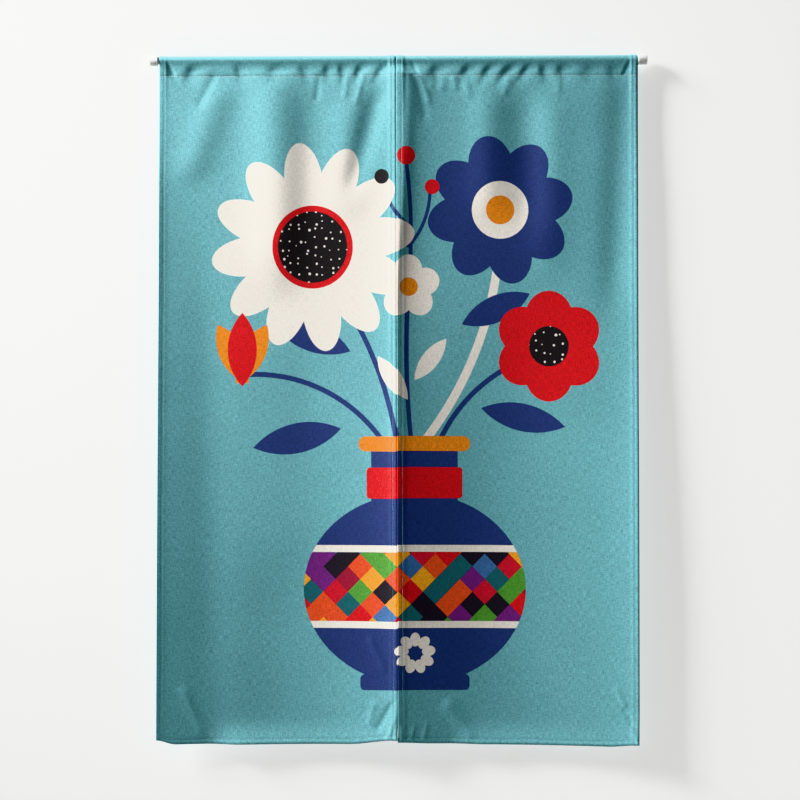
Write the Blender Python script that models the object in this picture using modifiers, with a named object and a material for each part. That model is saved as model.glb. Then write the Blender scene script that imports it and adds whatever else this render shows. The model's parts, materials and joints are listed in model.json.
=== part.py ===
"""A noren curtain: two cloth panels, edge to edge, on one thin white rod.

The rod lies along X and starts at the origin, the middle of its left end cap's outer face.
Someone in front of the curtain stands at -Y and sees +X to the right, and the cloth hangs
down -Z. Sizes are millimetres until a mesh is made, and the meshes are in metres.
"""

import math
from typing import NamedTuple

import bmesh
import bpy
import numpy as np

MM = 0.001

# Rod and end caps
ROD_OVERALL = 866.5
ROD_RADIUS = 6.5
CAP_RADIUS = 9.5
CAP_LENGTH = 16.0
CAP_CHAMFER = 1.2
SOCKET_DEPTH = 12.0
FIT = 0.3
ROUND_SIDES = 32
SHARP_ANGLE = math.radians(40.0)

# Cloth
CLOTH = 1.2
HEM_CLOTH = 2.4
HEM_WIDTH = 9.5
HEM_STEP = 1.0
FLAT_WIDTH = 425.0

# Rod pocket: the stitch line lies this far below the rod's middle, and the two layers
# of cloth that it holds together lie a little apart
STITCH_DROP = 28.0
LAYER_GAP = 0.6
ROD_CLEARANCE = 0.4
WRAP_RADIUS = ROD_RADIUS + ROD_CLEARANCE + CLOTH
LAYERS_HALF = CLOTH + LAYER_GAP / 2

# Steps of the cloth's grid
INNER_COLUMNS = 44
POCKET_SIDE_STEPS = 3
POCKET_TOP_STEPS = 10
HANG_STEPS = 16
HANG_GRADING = 1.5

# The bottom hem is stiffer than the cloth and kicks forward
KICK_HEIGHT = 45.0
KICK_RISE = 3.0

# The lower inner corner of a panel draws aside over this height
PULL_HEIGHT = 60.0

# A lip grows over this depth under the stitches, and then grows and spreads lower down
LIP_GROWTH = 260.0
SPREAD_FROM = 250.0
SPREAD_GROWTH = 700.0

# A fold fades over this share of its run at each end
FOLD_FADE = 0.28

# A pucker lies deepest just above the stitch line and fades out below it
PUCKER_TOP = 7.0
PUCKER_DEEPEST = 19.0
PUCKER_FOOT = 62.0


class Panel(NamedTuple):
    """One cloth panel: the places of its side edges and the depths of its two low corners."""

    name: str
    left_top: float
    left_hem: float
    right_top: float
    right_hem: float
    left_drop: float
    right_drop: float
    right_pull: float


class Lip(NamedTuple):
    """A cloth edge that stands forward: the cloth falls away from it on each side.

    Each pair holds the value under the heading and the value near the hem. The rise is
    given under the heading, a fold's length below it, and near the hem. The shelf is the
    width to the right of the edge that stands as far forward as the edge.
    """

    place: tuple
    left_reach: tuple
    right_reach: tuple
    rise: tuple
    shelf: tuple = (0.0, 0.0)


class Fold(NamedTuple):
    """A soft hanging ridge, or a trough where its rise is negative."""

    top_place: float
    foot_place: float
    top_depth: float
    foot_depth: float
    half_width: float
    rise: float


class Pucker(NamedTuple):
    """A dimple under the rod where the stitch line gathers the cloth."""

    place: float
    half_width: float
    sink: float


class Level(NamedTuple):
    """One point of the cloth's outer face in a cut across the rod."""

    behind: float
    depth: float
    follow: float
    hemmed: bool


PANELS = (
    Panel("panel_left", 18.6, 11.0, 429.4, 428.6, 1187.0, 1185.0, -2.2),
    Panel("panel_right", 431.4, 430.4, 848.2, 849.6, 1185.0, 1194.5, 0.0),
)
DROP = 1187.0

# Columns: place, reach to the left, reach to the right, rise, shelf
LIPS = (
    Lip((18.6, 11.0), (42.0, 42.0), (42.0, 100.0), (1.5, 6.0, 16.0)),
    Lip((430.4, 429.4), (42.0, 44.0), (30.0, 90.0), (8.0, 10.0, 14.0), (13.0, 0.0)),
    Lip((848.2, 849.6), (22.0, 36.0), (22.0, 36.0), (1.0, 5.0, 12.5)),
)

# Columns: top place, foot place, top depth, foot depth, half width, rise
FOLDS = (
    Fold(126.0, 42.0, 20.0, 200.0, 30.0, 2.4),
    Fold(96.0, 112.0, 150.0, 1500.0, 40.0, -2.0),
    Fold(199.0, 205.0, -40.0, 420.0, 27.0, 4.8),
    Fold(262.0, 250.0, 30.0, 330.0, 26.0, -1.5),
    Fold(222.0, 212.0, 360.0, 980.0, 66.0, 3.0),
    Fold(352.0, 340.0, 30.0, 300.0, 34.0, 3.0),
    Fold(402.0, 345.0, 20.0, 260.0, 20.0, -3.4),
    Fold(574.0, 570.0, 16.0, 300.0, 30.0, 2.5),
    Fold(650.0, 662.0, 20.0, 330.0, 30.0, -4.2),
    Fold(704.0, 690.0, 24.0, 420.0, 32.0, 1.6),
    Fold(822.0, 798.0, 10.0, 500.0, 28.0, -2.7),
    Fold(560.0, 556.0, 420.0, 1500.0, 60.0, -1.0),
    Fold(330.0, 322.0, 700.0, 1500.0, 70.0, -2.0),
    Fold(228.0, 236.0, 240.0, 1600.0, 110.0, -7.0),
    Fold(640.0, 640.0, 240.0, 1600.0, 115.0, -7.0),
)

# Columns: place, half width, sink
PUCKERS = (
    Pucker(82.0, 9.0, 3.4),
    Pucker(151.0, 7.5, 2.5),
    Pucker(213.0, 16.0, 3.6),
    Pucker(263.0, 8.0, 2.8),
    Pucker(306.0, 8.0, 3.1),
    Pucker(333.0, 7.0, 3.4),
    Pucker(362.0, 7.0, 3.4),
    Pucker(401.0, 8.5, 3.6),
    Pucker(452.0, 9.0, 3.6),
    Pucker(497.0, 12.0, 3.9),
    Pucker(540.0, 8.0, 3.4),
    Pucker(582.0, 7.0, 3.1),
    Pucker(612.0, 9.0, 3.9),
    Pucker(642.0, 8.0, 3.6),
    Pucker(672.0, 8.0, 3.4),
    Pucker(703.0, 9.0, 3.1),
    Pucker(783.0, 34.0, 3.6),
)

# Finishes: colour, roughness
CLOTH_FINISH = ((0.16, 0.46, 0.49, 1.0), 0.85)
ROD_FINISH = ((0.80, 0.80, 0.78, 1.0), 0.35)
CAP_FINISH = ((0.86, 0.86, 0.85, 1.0), 0.45)


def smooth(share):
    """A soft step from 0 to 1 as share goes from 0 to 1, level outside."""
    share = np.clip(share, 0.0, 1.0)
    return share * share * (3.0 - 2.0 * share)


def between(pair, share):
    """The value a share of the way from the pair's first number to its second."""
    return pair[0] + (pair[1] - pair[0]) * share


def forward(place, depth):
    """How far the hung cloth stands toward the viewer at a place and depth."""
    total = 0.0
    growth = smooth((depth - STITCH_DROP) / LIP_GROWTH)
    spread = smooth((depth - SPREAD_FROM) / SPREAD_GROWTH)
    for lip in LIPS:
        away = place - between(lip.place, depth / DROP)
        beyond = max(away - between(lip.shelf, spread), 0.0)
        left = away / between(lip.left_reach, spread)
        right = -beyond / between(lip.right_reach, spread)
        rise = between(lip.rise, growth) + (lip.rise[2] - lip.rise[1]) * spread
        total += rise * math.exp(left if away < 0.0 else right)
    for fold in FOLDS:
        run = (depth - fold.top_depth) / (fold.foot_depth - fold.top_depth)
        crest = fold.top_place + (fold.foot_place - fold.top_place) * np.clip(run, 0.0, 1.0)
        fade = smooth(run / FOLD_FADE) * smooth((1.0 - run) / FOLD_FADE)
        total += fold.rise * fade * math.exp(-(((place - crest) / fold.half_width) ** 2))
    sunk = smooth((depth - PUCKER_TOP) / (PUCKER_DEEPEST - PUCKER_TOP))
    sunk *= 1.0 - smooth((depth - PUCKER_DEEPEST) / (PUCKER_FOOT - PUCKER_DEEPEST))
    for pucker in PUCKERS:
        total -= pucker.sink * sunk * math.exp(-(((place - pucker.place) / pucker.half_width) ** 2))
    return total


def pocket_levels():
    """The rod pocket from the stitch line in front, over the rod, to the one behind.

    Each side is a straight line that leaves the round top as its tangent.
    """
    reach = math.hypot(LAYERS_HALF, STITCH_DROP)
    leave = math.asin(WRAP_RADIUS / reach) - math.atan2(LAYERS_HALF, STITCH_DROP)
    touch_behind = WRAP_RADIUS * math.cos(leave)
    touch_depth = WRAP_RADIUS * math.sin(leave)
    side = [
        (
            LAYERS_HALF + (touch_behind - LAYERS_HALF) * share,
            STITCH_DROP + (touch_depth - STITCH_DROP) * share,
        )
        for share in np.linspace(0.0, 1.0, POCKET_SIDE_STEPS, endpoint=False)
    ]
    top = [
        (-WRAP_RADIUS * math.cos(turn), -WRAP_RADIUS * math.sin(turn))
        for turn in np.linspace(-leave, math.pi + leave, POCKET_TOP_STEPS + 1)
    ]
    path = [(-behind, depth) for behind, depth in side] + top + side[::-1]
    levels = []
    for behind, depth in path:
        follow = smooth((depth - ROD_RADIUS) / (STITCH_DROP - ROD_RADIUS))
        levels.append(Level(behind, depth, float(follow), False))
    return levels


def hanging_levels(drop):
    """The cloth in front from the hem's edge, at depth drop, up to just below the stitches."""
    depths = [drop, drop - HEM_WIDTH, drop - HEM_WIDTH - HEM_STEP]
    bottom = drop - KICK_HEIGHT
    for step in range(HANG_STEPS, 0, -1):
        share = (step / HANG_STEPS) ** HANG_GRADING
        depths.append(STITCH_DROP + (bottom - STITCH_DROP) * share)
    return [Level(-LAYERS_HALF, depth, 1.0, index < 2) for index, depth in enumerate(depths)]


def column_places():
    """The places of the grid's columns across a flat panel, as shares of its width."""
    margin = HEM_WIDTH + HEM_STEP
    inner = np.linspace(margin, FLAT_WIDTH - margin, INNER_COLUMNS + 1)
    places = [0.0, HEM_WIDTH, *inner, FLAT_WIDTH - HEM_WIDTH, FLAT_WIDTH]
    return [place / FLAT_WIDTH for place in places]


def place_across(panel, share, depth):
    """The place along the rod of a point that lies a share of the panel's width from its left."""
    down = max(depth, 0.0) / DROP
    left = panel.left_top + (panel.left_hem - panel.left_top) * down
    right = panel.right_top + (panel.right_hem - panel.right_top) * down
    drop = panel.right_drop
    right += panel.right_pull * float(smooth((depth - drop + PULL_HEIGHT) / PULL_HEIGHT))
    return left + (right - left) * share


def hung_point(panel, share, drop, level):
    """The outer face's point, in metres, at a share of the width and one level."""
    place = place_across(panel, share, level.depth)
    kick = KICK_RISE * smooth((level.depth - drop + KICK_HEIGHT) / (KICK_HEIGHT - HEM_WIDTH))
    rise = level.follow * (forward(place, level.depth) + kick)
    return (place * MM, (level.behind - rise) * MM, -level.depth * MM)


def make_material(name, finish):
    """A plain Principled material of one colour and roughness."""
    colour, roughness = finish
    material = bpy.data.materials.new(name)
    material.use_nodes = True
    shader = material.node_tree.nodes["Principled BSDF"]
    shader.inputs["Base Color"].default_value = colour
    shader.inputs["Roughness"].default_value = roughness
    shader.inputs["Metallic"].default_value = 0.0
    material.diffuse_color = colour
    return material


def add_object(name, mesh, material, collection):
    """An object of this mesh and material, smooth shaded but for its sharp corners."""
    mesh.materials.append(material)
    mesh.shade_smooth()
    mesh.set_sharp_from_angle(angle=SHARP_ANGLE)
    thing = bpy.data.objects.new(name, mesh)
    collection.objects.link(thing)
    return thing


def add_panel(panel, material, collection):
    """A panel: a grid laid along the hung shape's outer face, then given its thickness."""
    columns = column_places()
    last_column = len(columns) - 1
    last_row = len(hanging_levels(DROP)) + len(pocket_levels()) - 1
    cloth = bmesh.new()
    weights = cloth.verts.layers.deform.verify()
    bmesh.ops.create_grid(cloth, x_segments=last_column, y_segments=last_row, size=0.5)
    paths = []
    for share in columns:
        drop = panel.left_drop + (panel.right_drop - panel.left_drop) * share
        paths.append((share, drop, hanging_levels(drop) + pocket_levels()))
    for point in cloth.verts:
        column = round((point.co.x + 0.5) * last_column)
        row = round((point.co.y + 0.5) * last_row)
        share, drop, levels = paths[column]
        level = levels[row]
        side_hem = column in (0, 1, last_column - 1, last_column)
        below = level.follow == 1.0 and level.depth > STITCH_DROP
        hemmed = level.hemmed or side_hem and below
        point[weights][0] = 1.0 if hemmed else CLOTH / HEM_CLOTH
        point.co = hung_point(panel, share, drop, level)
    mesh = bpy.data.meshes.new(panel.name)
    cloth.to_mesh(mesh)
    cloth.free()
    thing = add_object(panel.name, mesh, material, collection)
    thing.vertex_groups.new(name="thickness")
    solid = thing.modifiers.new("cloth", "SOLIDIFY")
    solid.thickness = HEM_CLOTH * MM
    solid.offset = -1.0
    solid.use_even_offset = True
    solid.vertex_group = "thickness"
    return thing


def add_rod(material, collection):
    """The rod, a plain round bar whose ends sit in the caps' sockets."""
    start = CAP_LENGTH - SOCKET_DEPTH + FIT
    length = ROD_OVERALL - 2 * start
    bar = bmesh.new()
    bmesh.ops.create_cone(
        bar,
        cap_ends=True,
        segments=ROUND_SIDES,
        radius1=ROD_RADIUS * MM,
        radius2=ROD_RADIUS * MM,
        depth=length * MM,
    )
    mesh = bpy.data.meshes.new("rod")
    bar.to_mesh(mesh)
    bar.free()
    thing = add_object("rod", mesh, material, collection)
    thing.rotation_euler = (0.0, math.pi / 2, 0.0)
    thing.location = (ROD_OVERALL / 2 * MM, 0.0, 0.0)
    return thing


def add_cap(name, place, tilt, material, collection):
    """An end cap: a turned cup whose closed face is at its origin and looks along its +Z."""
    socket = ROD_RADIUS + FIT
    profile = (
        (0.0, 0.0),
        (CAP_RADIUS - CAP_CHAMFER, 0.0),
        (CAP_RADIUS, -CAP_CHAMFER),
        (CAP_RADIUS, -CAP_LENGTH),
        (socket, -CAP_LENGTH),
        (socket, SOCKET_DEPTH - CAP_LENGTH),
        (0.0, SOCKET_DEPTH - CAP_LENGTH),
    )
    points = [(radius * MM, 0.0, height * MM) for radius, height in profile]
    mesh = bpy.data.meshes.new(name)
    mesh.from_pydata(points, [(index, index + 1) for index in range(len(points) - 1)], [])
    mesh.materials.append(material)
    thing = bpy.data.objects.new(name, mesh)
    collection.objects.link(thing)
    turned = thing.modifiers.new("turned", "SCREW")
    turned.steps = ROUND_SIDES
    turned.render_steps = ROUND_SIDES
    turned.use_merge_vertices = True
    turned.merge_threshold = 0.00001
    turned.use_smooth_shade = False
    thing.rotation_euler = (0.0, tilt, 0.0)
    thing.location = (place * MM, 0.0, 0.0)
    return thing


def main():
    """Clears the scene and builds the curtain in a collection of its own."""
    for old in list(bpy.data.objects):
        bpy.data.objects.remove(old, do_unlink=True)
    collection = bpy.data.collections.new("noren_curtain")
    bpy.context.scene.collection.children.link(collection)
    cloth = make_material("teal printed cloth", CLOTH_FINISH)
    rod = make_material("white coated rod", ROD_FINISH)
    cap = make_material("white cap", CAP_FINISH)
    for panel in PANELS:
        add_panel(panel, cloth, collection)
    add_rod(rod, collection)
    add_cap("rod_cap_left", 0.0, -math.pi / 2, cap, collection)
    add_cap("rod_cap_right", ROD_OVERALL, math.pi / 2, cap, collection)


main()
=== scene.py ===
"""The looks of a noren curtain: two printed cloth panels on a thin white rod.

The rod lies along X and starts at the origin, someone in front stands at -Y, and the cloth
hangs down -Z. Places along the rod, depths below it and cloth lengths are in millimetres
until a mesh is made; meshes, lights and the camera are in metres.
"""

from __future__ import annotations

import json
import logging
import math
from collections.abc import Callable
from dataclasses import dataclass
from enum import Enum

import bpy
import numpy as np
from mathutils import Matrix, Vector

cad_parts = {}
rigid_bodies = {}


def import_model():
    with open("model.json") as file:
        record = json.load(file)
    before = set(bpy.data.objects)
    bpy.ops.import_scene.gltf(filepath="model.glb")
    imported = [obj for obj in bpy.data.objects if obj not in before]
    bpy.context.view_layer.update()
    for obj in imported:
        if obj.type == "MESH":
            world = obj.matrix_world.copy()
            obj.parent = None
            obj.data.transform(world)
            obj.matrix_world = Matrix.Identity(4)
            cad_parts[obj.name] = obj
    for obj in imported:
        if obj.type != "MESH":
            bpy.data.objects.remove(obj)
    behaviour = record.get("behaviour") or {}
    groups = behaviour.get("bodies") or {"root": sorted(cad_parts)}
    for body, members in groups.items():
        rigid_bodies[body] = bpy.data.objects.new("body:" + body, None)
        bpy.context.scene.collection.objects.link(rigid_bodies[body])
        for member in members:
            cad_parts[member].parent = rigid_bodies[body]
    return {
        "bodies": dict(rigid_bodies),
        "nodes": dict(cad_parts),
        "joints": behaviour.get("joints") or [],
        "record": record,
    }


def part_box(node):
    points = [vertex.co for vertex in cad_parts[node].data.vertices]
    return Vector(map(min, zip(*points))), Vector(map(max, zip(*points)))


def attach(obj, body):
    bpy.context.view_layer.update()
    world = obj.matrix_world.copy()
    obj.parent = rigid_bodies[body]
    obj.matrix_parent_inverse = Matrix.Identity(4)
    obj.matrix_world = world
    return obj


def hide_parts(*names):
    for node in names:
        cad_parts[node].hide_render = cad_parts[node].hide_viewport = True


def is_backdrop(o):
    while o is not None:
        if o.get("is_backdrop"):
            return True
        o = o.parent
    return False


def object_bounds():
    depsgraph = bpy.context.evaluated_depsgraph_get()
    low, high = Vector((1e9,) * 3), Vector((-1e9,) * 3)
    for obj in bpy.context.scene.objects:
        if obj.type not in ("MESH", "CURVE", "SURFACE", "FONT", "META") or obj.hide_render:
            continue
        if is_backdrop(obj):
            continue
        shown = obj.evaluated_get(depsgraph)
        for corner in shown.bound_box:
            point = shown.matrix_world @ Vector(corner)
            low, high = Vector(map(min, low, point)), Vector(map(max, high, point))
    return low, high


LOG = logging.getLogger("noren")
MM = 0.001
BODY = "root"

Colour = tuple[float, float, float, float]
Rows = tuple[float, ...]
Object = bpy.types.Object
Material = bpy.types.Material
Tree = bpy.types.NodeTree
Node = bpy.types.Node
Socket = bpy.types.NodeSocket
Sockets = dict[str, Socket]


def srgb(red: int, green: int, blue: int) -> Colour:
    """Turns a screen colour into the linear colour that a shader reads.

    Args:
        red, green, blue: the colour's parts from 0 to 255.

    Returns:
        The linear colour with an alpha of 1.
    """
    parts = []
    for part in (red / 255, green / 255, blue / 255):
        parts.append(part / 12.92 if part <= 0.04045 else ((part + 0.055) / 1.055) ** 2.4)
    return (parts[0], parts[1], parts[2], 1.0)


def smooth(share: np.ndarray | float) -> np.ndarray:
    """A soft step: 3 s squared less 2 s cubed, level below 0 and above 1."""
    held = np.clip(share, 0.0, 1.0)
    return held * held * (3.0 - 2.0 * held)


def between(pair: tuple[float, float], share: np.ndarray) -> np.ndarray:
    """The value a share of the way from the pair's first number to its second."""
    return pair[0] + (pair[1] - pair[0]) * share


# The hung shape


@dataclass(frozen=True)
class Lip:
    """A cloth edge that stands forward: the cloth falls away from it on each side.

    Each pair holds the value under the heading and the value near the hem. The rise is
    given under the heading, a fold's length below it, and near the hem. The shelf is the
    width to the right of the edge that stands as far forward as the edge.
    """

    place: tuple[float, float]
    left_reach: tuple[float, float]
    right_reach: tuple[float, float]
    rise: tuple[float, float, float]
    shelf: tuple[float, float] = (0.0, 0.0)


@dataclass(frozen=True)
class Fold:
    """A soft hanging ridge, or a trough where its rise is negative."""

    top_place: float
    foot_place: float
    top_depth: float
    foot_depth: float
    half_width: float
    rise: float


@dataclass(frozen=True)
class Pucker:
    """A dimple under the rod where the stitch line gathers the cloth."""

    place: float
    half_width: float
    sink: float
    slant: float = 0.0


@dataclass(frozen=True)
class Tuck:
    """A three-cornered dent in the heading's front, which widens downwards from a fold.

    A width below 0 opens to the left. The cloth sinks evenly away from the fold and comes
    back in one short rise at the dent's slanting side.
    """

    fold: float
    from_depth: float
    to_depth: float
    foot_width: float
    sink: float


@dataclass(frozen=True)
class Crease:
    """A short straight ridge from one point of the cloth to another, or a trough."""

    from_place: float
    from_depth: float
    to_place: float
    to_depth: float
    half_width: float
    rise: float


# Columns: place, reach to the left, reach to the right, rise, shelf
LIPS = (
    Lip((20, 11), (42, 42), (46, 100), (0.8, 5, 14.8)),
    Lip((20, 11), (6, 6), (6, 6), (-0.3, 0.8, 0.6)),
    Lip((430.4, 429.4), (42, 44), (30, 78), (8, 10, 15.5), (23.5, 0)),
    Lip((849.2, 847.2), (22, 62), (22, 62), (0.5, 3.6, 15)),
)

# Columns: top place, foot place, top depth, foot depth, half width, rise
FOLDS = (
    Fold(135, 60, 20, 230, 30, 2.6),
    Fold(96, 112, 150, 1500, 40, -2),
    Fold(218, 221, -40, 440, 43, 6.3),
    Fold(278, 276, 30, 330, 24, -0.8),
    Fold(222, 212, 360, 980, 66, 3),
    Fold(352, 340, 30, 300, 34, 3),
    Fold(409, 342, 20, 260, 20, -3.4),
    Fold(454, 437, -60, 420, 12, 0.8),
    Fold(589, 584, 16, 300, 30, 2.6),
    Fold(651, 662, 20, 330, 33, -3.5),
    Fold(704, 690, 24, 420, 32, 1.6),
    Fold(832, 806, -60, 500, 28, -3),
    Fold(560, 556, 420, 1500, 60, -1),
    Fold(330, 322, 700, 1500, 70, -2),
    Fold(228, 236, 240, 1600, 110, -7),
    Fold(640, 640, 240, 1600, 115, -7),
)

# Columns: place, half width, sink, slant
PUCKERS = (
    Pucker(40, 5, 1.8, -0.4),
    Pucker(75, 9, 3.4, 0.3),
    Pucker(158, 7.5, 2.6, -0.2),
    Pucker(220, 13, 3.6, 0.2),
    Pucker(271, 8, 2.8, -0.3),
    Pucker(311, 7, 3, 0.1),
    Pucker(337, 6.5, 3.4, -0.1),
    Pucker(366, 6.5, 3.4, 0.3),
    Pucker(404, 8, 3.6, 0.5),
    Pucker(455, 8, 3.6, -0.5),
    Pucker(500, 10, 3.9, 0.2),
    Pucker(553, 8, 3.4, 0.4),
    Pucker(589, 7, 3.1, 0.5),
    Pucker(624, 8, 3.8, 0.7),
    Pucker(655, 7, 3.4, 0.6),
    Pucker(687, 7, 3.4, -0.2),
    Pucker(719, 9, 3.2, 0.1),
    Pucker(768, 14, 2.4, 0),
    Pucker(808, 10, 2.4, 0),
)

# Columns: fold place, from depth, to depth, width at its foot, sink
TUCKS = (
    Tuck(28, -6, 27, 18, 1.5),
    Tuck(454, -3, 27, 17, 1.5),
    Tuck(839, -5, 27, -15, 1.4),
)

# Columns: from place, from depth, to place, to depth, half width, rise
CREASES = (
    Crease(464, 14, 484, 66, 6, 1.1),
    Crease(470, 30, 479, 96, 8, -0.8),
    Crease(494, 31, 491, 48, 5.5, 0.5),
    Crease(511, 31, 510, 52, 6, 0.6),
    Crease(530, 31, 533, 50, 5.5, 0.6),
    Crease(549, 31, 556, 60, 7, 0.7),
    Crease(626, 30, 618, 58, 7, 0.7),
    Crease(714, 31, 711, 56, 6, 0.6),
    Crease(112, 31, 90, 74, 7, -0.9),
    Crease(297, 30, 292, 66, 6, -0.8),
    Crease(345, 30, 341, 60, 5, 0.7),
    Crease(372, 30, 362, 70, 5, 0.8),
    Crease(383, 1010, 404, 1052, 6, 1.1),
    Crease(418, 1120, 396, 1158, 5.5, -1.5),
    Crease(424, 1142, 412, 1176, 4, 1.2),
    Crease(388, 1120, 380, 1150, 6, 1),
    Crease(425, 1160, 427, 1180, 2.5, 0.6),
    Crease(437, 1160, 435, 1180, 3, 0.6),
    Crease(457, 1158, 453, 1178, 3, 0.6),
    Crease(479, 1155, 474, 1176, 3.5, 0.6),
    Crease(518, 1124, 552, 1172, 13, 1.3),
    Crease(808, 1096, 822, 1120, 4, 1),
    Crease(822, 1130, 834, 1152, 4, -0.9),
    Crease(836, 1166, 845, 1186, 3, 0.8),
    Crease(60, 1098, 86, 1160, 8, 0.9),
)


@dataclass(frozen=True)
class HungCloth:
    """How the whole cloth stands toward the viewer, both panels together."""

    lips: tuple[Lip, ...] = LIPS
    folds: tuple[Fold, ...] = FOLDS
    puckers: tuple[Pucker, ...] = PUCKERS
    tucks: tuple[Tuck, ...] = TUCKS
    creases: tuple[Crease, ...] = CREASES
    drop: float = 1187.0
    stitch_drop: float = 28.0
    lip_growth: float = 260.0
    shelf_length: float = 450.0
    shelf_ease: float = 0.4
    reach_from: float = 250.0
    reach_growth: float = 700.0
    fold_fade: float = 0.28
    pucker_top: float = 7.0
    pucker_deepest: float = 19.0
    pucker_foot: float = 54.0
    pucker_share: float = 0.5
    pucker_ease: float = 1.9
    dimple_top: float = 3.0
    dimple_deepest: float = 17.0
    dimple_foot: float = 28.0
    dimple_share: float = 0.5
    crease_fade: float = 0.3
    tuck_return: float = 3.5
    tuck_overrun: float = 1.3
    tuck_least: float = 0.01
    tuck_deepens: float = 1.6

    def lips_rise(self, place: np.ndarray, depth: np.ndarray) -> np.ndarray:
        """Each lip falls away as e to the power of minus distance over reach.

        Args:
            place, depth: where on the cloth, in millimetres.

        Returns:
            The rise toward the viewer, in millimetres.
        """
        total = np.zeros_like(place)
        growth = smooth((depth - self.stitch_drop) / self.lip_growth)
        spread = smooth((depth - self.reach_from) / self.reach_growth)
        for lip in self.lips:
            edge = between(lip.place, depth / self.drop)
            left, right = between(lip.left_reach, spread), between(lip.right_reach, spread)
            away = place - edge
            shelf = between(lip.shelf, smooth(depth / self.shelf_length))
            past = away - shelf
            beyond = (past + np.hypot(past, self.shelf_ease * shelf)) / 2
            share = np.where(away < 0.0, np.exp(away / left), np.exp(-beyond / right))
            rise = between(lip.rise[:2], growth) + (lip.rise[2] - lip.rise[1]) * spread
            total += rise * share
        return total

    def folds_rise(self, place: np.ndarray, depth: np.ndarray) -> np.ndarray:
        """Each fold is a bell curve across its crest line, and fades at both ends.

        Args:
            place, depth: where on the cloth, in millimetres.

        Returns:
            The rise toward the viewer, in millimetres.
        """
        total = np.zeros_like(place)
        for fold in self.folds:
            run = (depth - fold.top_depth) / (fold.foot_depth - fold.top_depth)
            reached = np.clip(run, 0.0, 1.0)
            crest = fold.top_place + (fold.foot_place - fold.top_place) * reached
            fade = smooth(run / self.fold_fade) * smooth((1.0 - run) / self.fold_fade)
            total += fold.rise * fade * np.exp(-(((place - crest) / fold.half_width) ** 2))
        return total

    def gathers(self, place: np.ndarray, depth: np.ndarray, spans: Rows) -> np.ndarray:
        """All the puckers' bell curves, sunk between two depths and deepest at a third.

        Each is steep on its left and eases out to the right.

        Args:
            place, depth: where on the cloth, in millimetres.
            spans: the depths where the sinking starts, is deepest and ends.

        Returns:
            The rise in millimetres, 0 or less.
        """
        top, deepest, foot = spans
        total = np.zeros_like(place)
        for pucker in self.puckers:
            away = place - pucker.place + pucker.slant * (depth - self.pucker_deepest)
            width = pucker.half_width * np.where(away < 0.0, 1.0, self.pucker_ease)
            total -= pucker.sink * np.exp(-((away / width) ** 2))
        sunk = smooth((depth - top) / (deepest - top))
        return total * sunk * (1.0 - smooth((depth - deepest) / (foot - deepest)))

    def puckers_rise(self, place: np.ndarray, depth: np.ndarray) -> np.ndarray:
        """What the puckers draw back of the whole cloth, on both sides of the stitch line."""
        spans = (self.pucker_top, self.pucker_deepest, self.pucker_foot)
        return self.pucker_share * self.gathers(place, depth, spans)

    def dimples_rise(self, place: np.ndarray, depth: np.ndarray) -> np.ndarray:
        """How far each pucker dents the heading's front, between the rod and the stitches."""
        spans = (self.dimple_top, self.dimple_deepest, self.dimple_foot)
        return self.dimple_share * self.gathers(place, depth, spans)

    def creases_rise(self, place: np.ndarray, depth: np.ndarray) -> np.ndarray:
        """Each crease is a narrow bell curve across a straight line, faded at both ends.

        Args:
            place, depth: where on the cloth, in millimetres.

        Returns:
            The rise toward the viewer, in millimetres.
        """
        total = np.zeros_like(place)
        for crease in self.creases:
            along_place = crease.to_place - crease.from_place
            along_depth = crease.to_depth - crease.from_depth
            length = math.hypot(along_place, along_depth)
            away_place = place - crease.from_place
            away_depth = depth - crease.from_depth
            run = (away_place * along_place + away_depth * along_depth) / length**2
            aside = (away_place * along_depth - away_depth * along_place) / length
            fade = smooth((run + self.crease_fade) / self.crease_fade)
            fade = fade * smooth((1.0 + self.crease_fade - run) / self.crease_fade)
            total += crease.rise * fade * np.exp(-((aside / crease.half_width) ** 2))
        return total

    def tucks_rise(self, place: np.ndarray, depth: np.ndarray) -> np.ndarray:
        """Each tuck is a saw tooth across its width, which grows evenly with the depth.

        Args:
            place, depth: where on the heading, in millimetres.

        Returns:
            The rise along the cloth's outward normal, in millimetres, 0 or less.
        """
        total = np.zeros_like(place)
        for tuck in self.tucks:
            run = (depth - tuck.from_depth) / (tuck.to_depth - tuck.from_depth)
            down = np.clip(run, 0.0, self.tuck_overrun)
            width = abs(tuck.foot_width) * down + self.tuck_least
            across = (place - tuck.fold) * np.sign(tuck.foot_width)
            sunk = smooth(across / width) * (1.0 - smooth((across - width) / self.tuck_return))
            stop = smooth((tuck.to_depth + 1.0 - depth) / 2.0)
            total -= tuck.sink * sunk * stop * smooth(down * self.tuck_deepens)
        return total

    def forward(self, place: np.ndarray, depth: np.ndarray) -> np.ndarray:
        """The lips, folds, puckers and creases together, in millimetres toward the viewer."""
        rise = self.lips_rise(place, depth) + self.folds_rise(place, depth)
        return rise + self.puckers_rise(place, depth) + self.creases_rise(place, depth)


@dataclass(frozen=True)
class PanelPlan:
    """One panel's name, side edges, low corners and where its print starts.

    A lift is how far a low corner hangs above the hem's straight line, and how far in from
    the corner it starts. The left zone is the share of the side hem's fullness on the left.
    """

    name: str
    node: str
    left_top: float
    left_hem: float
    right_top: float
    right_hem: float
    left_drop: float
    right_drop: float
    right_pull: float
    left_lift: tuple[float, float]
    right_lift: tuple[float, float]
    left_zone: float
    kick: float
    print_start: float


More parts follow.
